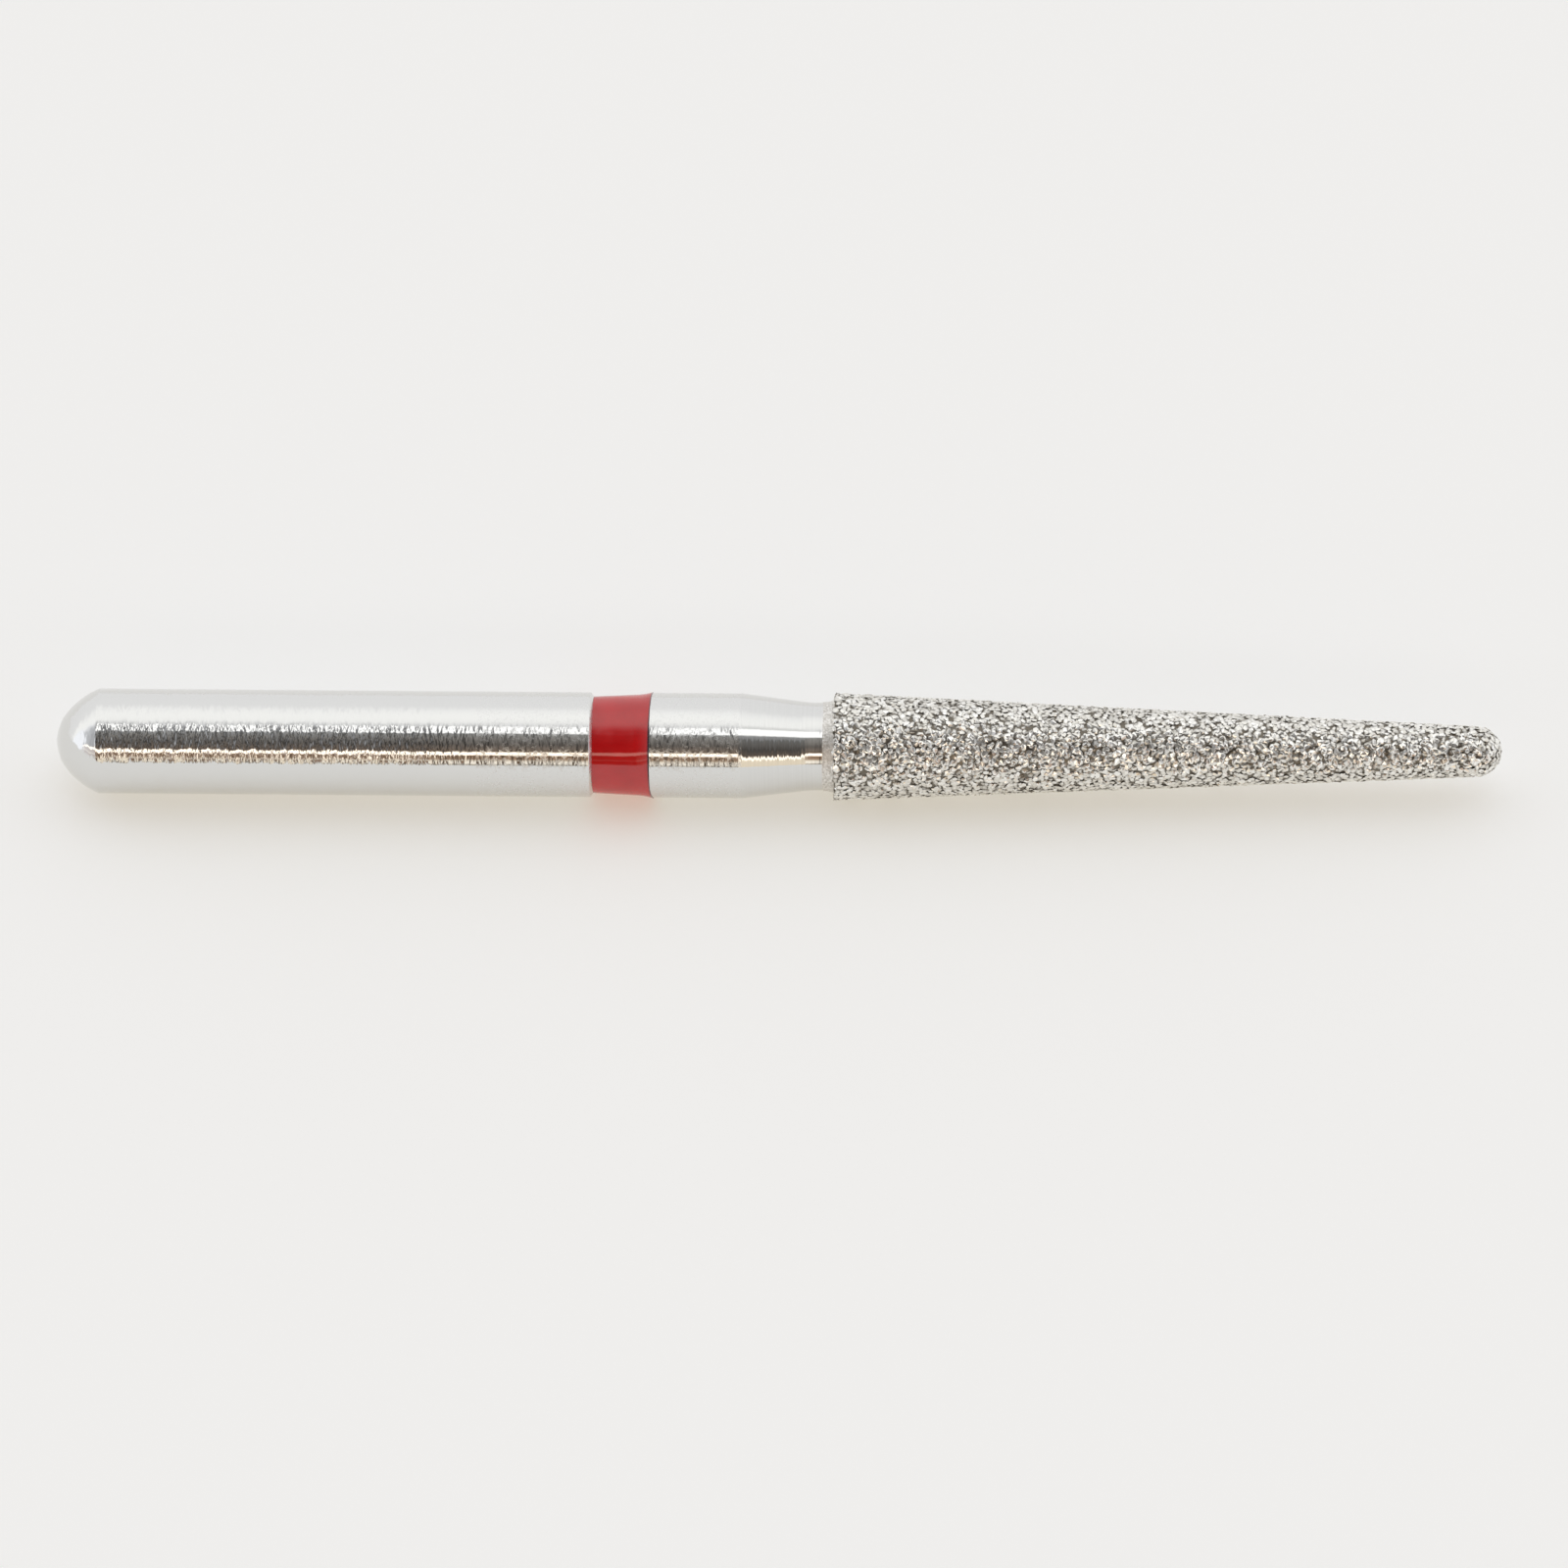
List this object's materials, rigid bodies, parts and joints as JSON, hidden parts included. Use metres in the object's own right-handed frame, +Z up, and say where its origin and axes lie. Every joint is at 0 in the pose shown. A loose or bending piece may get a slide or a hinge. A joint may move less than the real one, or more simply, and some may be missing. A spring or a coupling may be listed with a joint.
{
  "type": "dental bur",
  "caption": "Friction grip diamond bur with a straight round shank, a red colour band, a tapered neck and a long tapered round-end head coated with diamond grit in nickel.",
  "frame": {"origin": "on the axis of the bur, where the shank reaches its full diameter at the end that goes into the chuck", "axes": "+X along the bur's axis towards the round tip, +Z up, -Y towards the front"},
  "size_m": [0.0221, 0.0016, 0.0016],
  "materials": {
    "steel": "satin",
    "red_lacquer": "gloss",
    "nickel": "matte",
    "diamond": "satin"
  },
  "bodies": {
    "root": {"steel_blank": "steel", "colour_band": "red_lacquer", "nickel_bond": "nickel", "diamond_grit": "diamond"}
  },
  "joints": []
}
